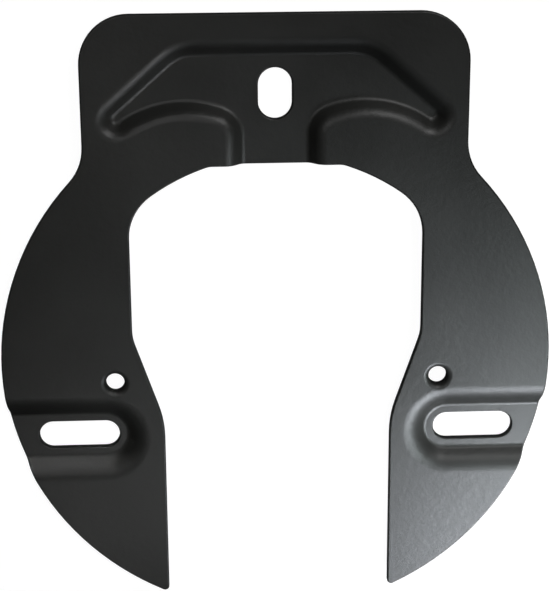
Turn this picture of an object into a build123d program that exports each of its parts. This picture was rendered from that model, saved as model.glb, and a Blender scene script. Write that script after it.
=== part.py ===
# Mounting plate for a bicycle frame lock: one steel sheet, blanked, pressed and punched.
# The plate straddles the tyre. Three recesses are pressed into its front, so that three flat
# seats stand out at its back: a wing with a stem round the upper slot, and a channel round each
# lower slot. Units are millimetres.
# Frame: the seats lie on Z = 0 and the front faces +Z. The origin is midway between the two
# lower slots, +X runs along their line and +Y points to the top edge.
import os
from math import atan2, cos, degrees, hypot, radians, sin, sqrt, tan

from build123d import *

# Sheet and press work. A bend's radius is the one on its inside. The wing has the steeper walls,
# and the channels have the softer rims.
thickness = 1.5
press_depth = 3.0
wing_wall_angle = 50.0
channel_wall_angle = 45.0
wing_rim_bend = 2.0
channel_rim_bend = 4.5
floor_bend = 1.5
edge_break = 0.4

# Gap between the legs, which is the room for the tyre, and the slots for the frame bolts. The
# flat strips are beside the gap, round each slot on its floor, and from a slot to the outer edge.
leg_gap = 52.3
leg_strip = 2.965
slot_length = 18.6
slot_width = 6.4
slot_strip = 2.2
slot_edge_strip = 5.15

# Ring that the outer edge follows, and the opening inside it. Heights are from its centre.
ring_height = 17.4
ring_band = 14.4
throat_step = 6.9
throat_bottom = 6.5
leg_top = -13.8
opening_flat = 29.8
opening_top_radius = 5.0
shoulder_corner_radius = 12.0
throat_bottom_radius = 10.0
leg_top_radius = 25.0
leg_tip_radius = 1.0

# Tab above the opening.
tab_width = 85.6
tab_height = 33.75
tab_corner_radius = 11.0
neck_radius = 12.0

# Wing recess in the tab. Its rim is where the walls would meet the front of the plate.
wing_top_strip = 6.7
wing_side_strip = 4.2
wing_slope = 41.0
wing_bend_radius = 11.5
wing_tip_rise = 10.65
wing_tip_floor_radius = 1.1
wing_arch_radius = 22.5
wing_arch_shift = 2.35
stem_floor_width = 14.6
stem_corner_radius = 4.0
top_slot_drop = 11.3
top_slot_width = 7.5
top_slot_length = 11.4

# Drawn collars, tapped for the lock's own screws. The flat strip is between a bore and the bend
# of the channel's rim, and is narrower than the rounding of the mouth, which runs into the bend.
collar_inset = 11.15
collar_bore = 4.2
collar_wall = 0.95
collar_drop = 1.0
collar_mouth = 1.4
collar_strip = 0.4

# Levels of the sheet, and how far its walls and the bend of a channel's rim reach sideways.
back = press_depth
front = back + thickness
wing_wall_run = press_depth / tan(radians(wing_wall_angle))
channel_wall_run = press_depth / tan(radians(channel_wall_angle))
channel_rim_run = (channel_rim_bend + thickness) * tan(radians(channel_wall_angle / 2))

# Places that follow from the sizes.
gap_half = leg_gap / 2
throat_half = gap_half + throat_step
tab_half = tab_width / 2
channel_rim = channel_rim_run + channel_wall_run
slot_x = gap_half + leg_strip + channel_rim + slot_strip + slot_length / 2
ring_radius = hypot(slot_x + slot_length / 2 + slot_edge_strip, ring_height)
shoulder_radius = ring_radius - ring_band
opening_top = sqrt(shoulder_radius**2 - (opening_flat / 2) ** 2)
shoulder_corner_y = sqrt(shoulder_radius**2 - throat_half**2)
tab_top = opening_top + tab_height
neck_y = sqrt(ring_radius**2 - tab_half**2)
leg_tip_y = -sqrt(ring_radius**2 - gap_half**2)
channel_half = slot_width / 2 + slot_strip + channel_wall_run
collar_x = gap_half + collar_inset
collar_y = channel_half + channel_rim_run + collar_strip + collar_bore / 2
past_edge = 2 * ring_radius
ring_plane = Plane((0, ring_height, 0))

# Opening for the tyre.
with BuildSketch(ring_plane) as opening:
    Circle(shoulder_radius)
    with Locations((0, throat_bottom)):
        Rectangle(
            2 * throat_half,
            opening_top - throat_bottom,
            align=(Align.CENTER, Align.MIN),
            mode=Mode.INTERSECT,
        )
    Polygon(
        (throat_half, throat_bottom),
        (-throat_half, throat_bottom),
        (-gap_half, leg_top),
        (-gap_half, -past_edge),
        (gap_half, -past_edge),
        (gap_half, leg_top),
        align=None,
    )
    for side in (-1, 1):
        for x, y, radius in (
            (opening_flat / 2, opening_top, opening_top_radius),
            (throat_half, shoulder_corner_y, shoulder_corner_radius),
            (throat_half, throat_bottom, throat_bottom_radius),
            (gap_half, leg_top, leg_top_radius),
        ):
            fillet(opening.vertices().sort_by_distance((side * x, y, 0))[0], radius)

# Outline of the trimmed plate: the ring and its tab, less the opening.
with BuildSketch(ring_plane) as outline:
    Circle(ring_radius)
    Rectangle(tab_width, tab_top, align=(Align.CENTER, Align.MIN))
    for side in (-1, 1):
        for x, y, radius in (
            (tab_half, tab_top, tab_corner_radius),
            (tab_half, neck_y, neck_radius),
        ):
            fillet(outline.vertices().sort_by_distance((side * x, y, 0))[0], radius)
    add(opening.sketch_local, mode=Mode.SUBTRACT)
    for side in (-1, 1):
        tip = outline.vertices().sort_by_distance((side * gap_half, leg_tip_y, 0))[0]
        fillet(tip, leg_tip_radius)

# Rim of the wing recess. Each half runs from the top edge round the tip and over the arch to
# the stem, which goes on past the edge of the opening.
wing_top = tab_top - wing_top_strip
wing_tip_radius = wing_tip_floor_radius + wing_wall_run
wing_tip = Vector(tab_half - wing_side_strip - wing_tip_radius, opening_top + wing_tip_rise)
flank_normal = Vector(sin(radians(wing_slope)), cos(radians(wing_slope)))
flank_end = wing_tip + flank_normal * wing_tip_radius
bend_x = (
    flank_end.X
    - (wing_top - flank_end.Y) / tan(radians(wing_slope))
    - wing_bend_radius * tan(radians(wing_slope / 2))
)
stem_half = stem_floor_width / 2 + wing_wall_run
arch_x = (stem_half + wing_tip.X) / 2 - wing_arch_shift
arch_rise = sqrt((wing_arch_radius + wing_tip_radius) ** 2 - (wing_tip.X - arch_x) ** 2)
arch = Vector(arch_x, wing_tip.Y - arch_rise)
corner_x = stem_half + stem_corner_radius
corner_rise = sqrt((wing_arch_radius - stem_corner_radius) ** 2 - (corner_x - arch_x) ** 2)
corner = Vector(corner_x, arch.Y + corner_rise)
arch_start = degrees(atan2(arch_rise, wing_tip.X - arch_x))
arch_end = degrees(atan2(corner_rise, corner_x - arch_x))
with BuildSketch(ring_plane) as wing:
    with BuildLine():
        Line((0, wing_top), (bend_x, wing_top))
        bend = JernArc((bend_x, wing_top), (1, 0), wing_bend_radius, -wing_slope)
        Line(bend @ 1, flank_end)
        CenterArc(wing_tip, wing_tip_radius, 90 - wing_slope, arch_start - 270 + wing_slope)
        CenterArc(arch, wing_arch_radius, arch_start, arch_end - arch_start)
        CenterArc(corner, stem_corner_radius, arch_end, 180 - arch_end)
        Line((stem_half, corner.Y), (stem_half, 0))
        CenterArc((0, 0), stem_half, 0, -90)
        mirror(about=Plane.YZ)
    make_face()

# Rims of the two channels, which go on past the outer edge.
with BuildSketch() as channels:
    channel_end = slot_x - slot_length / 2 + slot_width / 2
    channel_x = (channel_end + past_edge) / 2
    with Locations((-channel_x, 0), (channel_x, 0)):
        SlotCenterToCenter(past_edge - channel_end, 2 * channel_half)


def flat_faces(sheet, facing):
    """Flat faces that look up (1) or down (-1), in groups from the lowest to the highest."""
    flats = sheet.faces().filter_by(Axis.Z)
    return flats.filter_by(lambda face: facing * face.normal_at().Z > 0).group_by(Axis.Z)


def rims(sheet, facing):
    """Rims of the recesses at the front (1) or at the back (-1), the wing's last."""
    return flat_faces(sheet, facing)[-1].face().inner_wires().sort_by(Axis.Y)


# The pressed and trimmed sheet.
with BuildPart() as bracket:
    # Oversize blank, with each recess pressed through it at a constant thickness.
    with BuildSketch(Plane.XY.offset(back)):
        Rectangle(3 * past_edge, 3 * past_edge)
    extrude(amount=thickness)
    recesses = ((wing.sketch, wing_wall_angle), (channels.sketch, channel_wall_angle))
    for rim, angle in recesses:
        with BuildSketch(Plane.XY.offset(back)):
            offset(rim, thickness * tan(radians(angle / 2)))
        extrude(amount=-press_depth, taper=90 - angle)
    for rim, angle in recesses:
        with BuildSketch(Plane.XY.offset(front)):
            add(rim)
        extrude(amount=-press_depth, taper=90 - angle, mode=Mode.SUBTRACT)
    # Bends where the walls meet the plate and the floors, at the front and at the back.
    for facing, outside in ((1, thickness), (-1, 0)):
        fillet(rims(bracket, facing)[-1:].edges(), wing_rim_bend + outside)
        fillet(rims(bracket, facing)[:-1].edges(), channel_rim_bend + outside)
    for facing, outside in ((1, 0), (-1, thickness)):
        fillet(flat_faces(bracket, facing)[0].edges(), floor_bend + outside)
    # Trimming to the outline, which lets the stem and the channels run out at the edges.
    with BuildSketch():
        add(outline.sketch)
    extrude(amount=past_edge, both=True, mode=Mode.INTERSECT)
    # Punched slots.
    with BuildSketch():
        with Locations((-slot_x, 0), (slot_x, 0)):
            SlotOverall(slot_length, slot_width)
        with Locations((0, ring_height + wing_top - top_slot_drop)):
            SlotOverall(top_slot_length, top_slot_width, rotation=90)
    extrude(amount=past_edge, both=True, mode=Mode.SUBTRACT)
    # Broken edge all round the front, so that the paint holds on it.
    cut_faces = bracket.faces().filter_by(lambda face: abs(face.normal_at().Z) < 0.01)
    front_faces = bracket.faces().filter_by(lambda face: face.normal_at().Z > 0.01)
    chamfer(cut_faces.edges() & front_faces.edges(), edge_break)
    # Collars drawn through to the back, with bores for tapping and rounded mouths.
    with BuildSketch(Plane.XY.offset(back)):
        with Locations((-collar_x, collar_y), (collar_x, collar_y)):
            Circle(collar_bore / 2 + collar_wall)
    extrude(amount=-collar_drop)
    with Locations((-collar_x, collar_y, front), (collar_x, collar_y, front)):
        Hole(collar_bore / 2)
    bore_ends = bracket.edges(Select.LAST).filter_by(GeomType.CIRCLE)
    fillet(bore_ends.group_by(Axis.Z)[-1], collar_mouth)

os.makedirs("parts", exist_ok=True)
bracket.part.label = "bracket_plate"
export_step(bracket.part, "parts/bracket_plate.step")
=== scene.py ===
import math

import bmesh
import bpy
from mathutils import Euler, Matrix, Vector


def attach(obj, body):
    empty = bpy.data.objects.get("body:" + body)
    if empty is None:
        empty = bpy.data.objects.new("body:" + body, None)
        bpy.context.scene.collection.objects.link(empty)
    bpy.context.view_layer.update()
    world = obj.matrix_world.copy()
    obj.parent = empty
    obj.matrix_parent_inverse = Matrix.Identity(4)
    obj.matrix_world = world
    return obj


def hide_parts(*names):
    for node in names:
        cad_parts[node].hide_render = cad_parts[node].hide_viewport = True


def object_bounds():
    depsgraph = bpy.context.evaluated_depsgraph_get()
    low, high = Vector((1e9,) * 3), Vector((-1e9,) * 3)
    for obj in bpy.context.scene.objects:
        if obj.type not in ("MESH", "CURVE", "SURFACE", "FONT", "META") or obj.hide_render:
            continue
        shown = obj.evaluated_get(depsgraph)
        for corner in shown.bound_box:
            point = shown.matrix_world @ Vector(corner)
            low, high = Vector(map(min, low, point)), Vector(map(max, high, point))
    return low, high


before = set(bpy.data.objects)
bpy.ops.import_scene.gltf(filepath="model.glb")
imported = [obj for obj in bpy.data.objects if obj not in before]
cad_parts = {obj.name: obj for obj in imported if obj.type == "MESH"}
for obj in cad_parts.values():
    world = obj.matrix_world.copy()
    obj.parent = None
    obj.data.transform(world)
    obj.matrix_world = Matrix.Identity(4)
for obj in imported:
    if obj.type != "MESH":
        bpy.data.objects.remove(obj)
cad_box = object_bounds()

# Bracket plate. The whole bracket is one steel sheet, 1.5 mm thick, blanked, pressed with three
# recesses, punched with slots and drawn into two collars. It is painted satin black all over.
# The piece is the solid's own surface, merged, with normals that run smoothly round each bend.
MERGE_DISTANCE = 1e-6
SMOOTH_UP_TO = math.radians(50)
FLAT_NORMAL_Z = 0.9999
CUT_NORMAL_Z = 0.02


def is_flat(face):
    """True for the plate, the floors and the seats."""
    return abs(face.normal.z) > FLAT_NORMAL_Z


def is_cut(face):
    """True for the upright faces that the blanking and the punching leave."""
    return abs(face.normal.z) < CUT_NORMAL_Z


def mark_edges(sheet):
    """Marks the cut faces, and the faces that break the front edges beside them."""
    cut = sheet.faces.layers.float.new("cut_face")
    broken = sheet.faces.layers.float.new("broken_edge")
    for face in sheet.faces:
        neighbours = {near for corner in face.verts for near in corner.link_faces}
        face[cut] = float(is_cut(face))
        face[broken] = float(CUT_NORMAL_Z < face.normal.z and any(map(is_cut, neighbours)))


def corner_normal(corner):
    """The normal at a face's corner.

    Bends and broken edges run smoothly into flat and cut faces, which keep their own normals.
    """
    face = corner.face
    near = [one for one in corner.vert.link_faces if one.normal.angle(face.normal) < SMOOTH_UP_TO]
    for leads in (is_flat, is_cut):
        leaders = [one for one in near if leads(one)]
        if leaders and (leads(face) or not is_cut(face)):
            near = leaders
            break
    return sum((one.normal * one.calc_area() for one in near), Vector()).normalized()


def merged_surface(node):
    """The node's surface as one closed mesh, smooth round its bends and flat elsewhere."""
    sheet = bmesh.new()
    sheet.from_mesh(node.data)
    bmesh.ops.remove_doubles(sheet, verts=sheet.verts, dist=MERGE_DISTANCE)
    sheet.normal_update()
    mark_edges(sheet)
    for face in sheet.faces:
        face.smooth = True
    normals = [corner_normal(corner) for face in sheet.faces for corner in face.loops]
    mesh = bpy.data.meshes.new("pressed_plate")
    sheet.to_mesh(mesh)
    sheet.free()
    mesh.normals_split_custom_set(normals)
    return mesh


# Noises have so many cells per metre, and the heights of the bumps are in metres.
PAINT_DARK = (0.0155, 0.0156, 0.0143, 1.0)
PAINT_PALE = (0.021, 0.0211, 0.0194, 1.0)
PAINT_ROUGHNESS = (0.41, 0.47)
EDGE_SMOOTHER_BY = 0.08
CUT_ROUGHER_BY = 0.12
CLOUD_PER_METRE = 55.0
CLOUD_DETAIL = 4.0
RIPPLE_PER_METRE = 600.0
RIPPLE_DETAIL = 1.0
RIPPLE_HEIGHT = 0.000045
GRAIN_PER_METRE = 1800.0
GRAIN_DETAIL = 2.0
GRAIN_HEIGHT = 0.000024
NOISE_LOW = 0.3
NOISE_HIGH = 0.7


def satin_black_paint():
    """Sprayed and baked satin paint: a faint ripple, a finer grain, and a roughness that drifts."""
    paint = bpy.data.materials.new("satin_black_paint")
    paint.use_nodes = True
    nodes = paint.node_tree.nodes
    link = paint.node_tree.links.new
    surface = nodes["Principled BSDF"]
    place = nodes.new("ShaderNodeTexCoord").outputs["Object"]

    def noise(name, per_metre, detail):
        """A noise that runs over the plate at a given number of cells per metre."""
        pattern = nodes.new("ShaderNodeTexNoise")
        pattern.label = name
        pattern.inputs["Scale"].default_value = per_metre
        pattern.inputs["Detail"].default_value = detail
        link(place, pattern.inputs["Vector"])
        return pattern.outputs["Fac"]

    def spread(value, low, high):
        """Maps the middle of a noise's range to the range from low to high."""
        ranged = nodes.new("ShaderNodeMapRange")
        ranged.inputs["From Min"].default_value = NOISE_LOW
        ranged.inputs["From Max"].default_value = NOISE_HIGH
        ranged.inputs["To Min"].default_value = low
        ranged.inputs["To Max"].default_value = high
        link(value, ranged.inputs["Value"])
        return ranged.outputs["Result"]

    def mixed(share, first, second):
        """Two plain colours, mixed by a share."""
        mix = nodes.new("ShaderNodeMix")
        mix.data_type = "RGBA"
        link(share, mix.inputs["Factor"])
        for name, colour in (("A", first), ("B", second)):
            socket = next(one for one in mix.inputs if one.name == name and one.type == "RGBA")
            socket.default_value = colour
        return next(one for one in mix.outputs if one.type == "RGBA")

    def raised(height, distance, under=None):
        """A bump of a given height in metres, over another bump's normal if there is one."""
        bump = nodes.new("ShaderNodeBump")
        bump.inputs["Distance"].default_value = distance
        link(height, bump.inputs["Height"])
        if under:
            link(under, bump.inputs["Normal"])
        return bump.outputs["Normal"]

    def shifted(value, attribute, amount):
        """A value that changes by an amount on the faces that an attribute marks."""
        mark = nodes.new("ShaderNodeAttribute")
        mark.attribute_name = attribute
        shift = nodes.new("ShaderNodeMath")
        shift.operation = "MULTIPLY_ADD"
        shift.inputs[1].default_value = amount
        link(mark.outputs["Fac"], shift.inputs[0])
        link(value, shift.inputs[2])
        return shift.outputs["Value"]

    cloud = noise("cloud", CLOUD_PER_METRE, CLOUD_DETAIL)
    ripple = noise("ripple", RIPPLE_PER_METRE, RIPPLE_DETAIL)
    grain = noise("grain", GRAIN_PER_METRE, GRAIN_DETAIL)

    link(mixed(spread(cloud, 0.0, 1.0), PAINT_DARK, PAINT_PALE), surface.inputs["Base Color"])
    roughness = shifted(spread(cloud, *PAINT_ROUGHNESS), "broken_edge", -EDGE_SMOOTHER_BY)
    link(shifted(roughness, "cut_face", CUT_ROUGHER_BY), surface.inputs["Roughness"])
    rippled = raised(ripple, RIPPLE_HEIGHT)
    link(raised(grain, GRAIN_HEIGHT, rippled), surface.inputs["Normal"])
    return paint


plate_mesh = merged_surface(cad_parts["bracket_plate"])
plate = bpy.data.objects.new("pressed_plate", plate_mesh)
bpy.context.scene.collection.objects.link(plate)
plate_mesh.materials.clear()
plate_mesh.materials.append(satin_black_paint())
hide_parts("bracket_plate")
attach(plate, "root")

# Studio. The plate lies with its three seats on a plain white floor, which is lit from below so
# that it stays white. Six small lamps with narrow beams pick out the right arm, the legs and the
# wing, and two larger soft lights and the camera stand above the top edge.
FLOOR_SIZE = 8.0
FLOOR_GAP = 0.0001
BACKDROP_HEIGHT = 1.2
FLOOR_COLOUR = (0.12, 0.12, 0.12, 1.0)
FLOOR_GLOW = (0.97, 0.97, 0.97, 1.0)


def white_floor():
    """A floor just below the seats, with low walls far away as a backdrop for views from the side.

    It glows for the camera alone, and so the plate's edges stay dark.
    """
    half = FLOOR_SIZE / 2
    level = cad_box[0][2] - FLOOR_GAP
    square = [(-half, -half), (half, -half), (half, half), (-half, half)]
    corners = [(x, y, level + rise) for rise in (0.0, BACKDROP_HEIGHT) for x, y in square]
    walls = [(0, 4, 5, 1), (1, 5, 6, 2), (2, 6, 7, 3), (3, 7, 4, 0)]
    floor_mesh = bpy.data.meshes.new("floor")
    floor_mesh.from_pydata(corners, [], [(0, 1, 2, 3), *walls])
    floor = bpy.data.objects.new("floor", floor_mesh)
    bpy.context.scene.collection.objects.link(floor)
    white = bpy.data.materials.new("white_floor")
    white.use_nodes = True
    nodes = white.node_tree.nodes
    surface = nodes["Principled BSDF"]
    surface.inputs["Base Color"].default_value = FLOOR_COLOUR
    surface.inputs["Roughness"].default_value = 1.0
    surface.inputs["Specular IOR Level"].default_value = 0.0
    surface.inputs["Emission Color"].default_value = FLOOR_GLOW
    seen = nodes.new("ShaderNodeLightPath").outputs["Is Camera Ray"]
    white.node_tree.links.new(seen, surface.inputs["Emission Strength"])
    floor_mesh.materials.append(white)


def soft_light(name, place, aim, size, power, beam, colour):
    """A round soft light that faces a point on the plate. A grid on it may narrow its beam."""
    light = bpy.data.lights.new(name, "AREA")
    light.shape = "DISK"
    light.size = size
    light.energy = power
    light.spread = math.radians(beam)
    light.color = colour
    holder = bpy.data.objects.new(name, light)
    bpy.context.scene.collection.objects.link(holder)
    holder.location = place
    holder.rotation_euler = (Vector(aim) - Vector(place)).to_track_quat("-Z", "Y").to_euler()
    holder.visible_camera = False


# Each light has its place and the point that it faces, then its size in metres, its power in
# watts, the angle of its beam in degrees and its colour.
LAMP = 0.05
PANEL = 0.20
OPEN_BEAM = 180.0
WHITE = (1.0, 1.0, 1.0)
COOL_WHITE = (0.89, 0.935, 1.0)
GREEN_WHITE = (0.86, 0.975, 0.97)
LIGHTS = {
    "leg_lamp": ((0.12, -0.12, 0.14), (0.05, -0.022, 0.0), LAMP, 0.045, 45.0, COOL_WHITE),
    "tip_lamp": ((0.045, -0.10, 0.08), (0.036, -0.034, 0.0), LAMP, 0.0062, 50.0, COOL_WHITE),
    "arm_lamp": ((0.18, -0.05, 0.20), (0.05, 0.0, 0.0), LAMP, 0.0182, 40.0, GREEN_WHITE),
    "left_lamp": ((-0.05, -0.10, 0.20), (-0.04, -0.01, 0.0), LAMP, 0.0025, 50.0, WHITE),
    "channel_lamp": ((-0.12, 0.42, 0.28), (-0.047, -0.008, 0.0), LAMP, 0.0017, 10.0, WHITE),
    "wing_lamp": ((0.064, -0.036, 0.156), (-0.036, 0.083, 0.0), LAMP, 0.0013, 18.0, WHITE),
    "back_light": ((0.211, 0.395, 0.354), (0.0, 0.03, 0.0), PANEL, 0.889, OPEN_BEAM, WHITE),
    "high_light": ((-0.15, 0.24, 0.49), (0.0, 0.03, 0.0), PANEL, 0.278, OPEN_BEAM, WHITE),
}
WORLD_STRENGTH = 0.02

white_floor()
for light_name, light_values in LIGHTS.items():
    soft_light(light_name, *light_values)

world = bpy.data.worlds.new("studio")
world.use_nodes = True
background = world.node_tree.nodes["Background"]
background.inputs["Color"].default_value = (*WHITE, 1.0)
background.inputs["Strength"].default_value = WORLD_STRENGTH
bpy.context.scene.world = world
bpy.context.scene.view_settings.view_transform = "Standard"

# The camera, as it was fitted to the photograph. Its sensor is as long as the image is high.
IMAGE_HEIGHT_PIXELS = 591
FOCAL_LENGTH_PIXELS = 1610.2
SENSOR_MM = 36.0
NEAREST_SEEN = 0.01
CAMERA_PLACE = (-0.01767, 0.13950, 0.35368)
CAMERA_TILT = math.radians(16.827)
CAMERA_TURN = math.radians(2.825)
CAMERA_ROLL = math.radians(0.361)

lens = bpy.data.cameras.new("camera")
lens.sensor_width = SENSOR_MM
lens.lens = FOCAL_LENGTH_PIXELS / IMAGE_HEIGHT_PIXELS * SENSOR_MM
lens.clip_start = NEAREST_SEEN
camera = bpy.data.objects.new("camera", lens)
camera.location = CAMERA_PLACE
camera_angles = Euler((-CAMERA_TILT, -CAMERA_TURN, -CAMERA_ROLL), "ZXY")
camera.rotation_euler = camera_angles.to_matrix().to_euler()
bpy.context.scene.collection.objects.link(camera)
bpy.context.scene.camera = camera
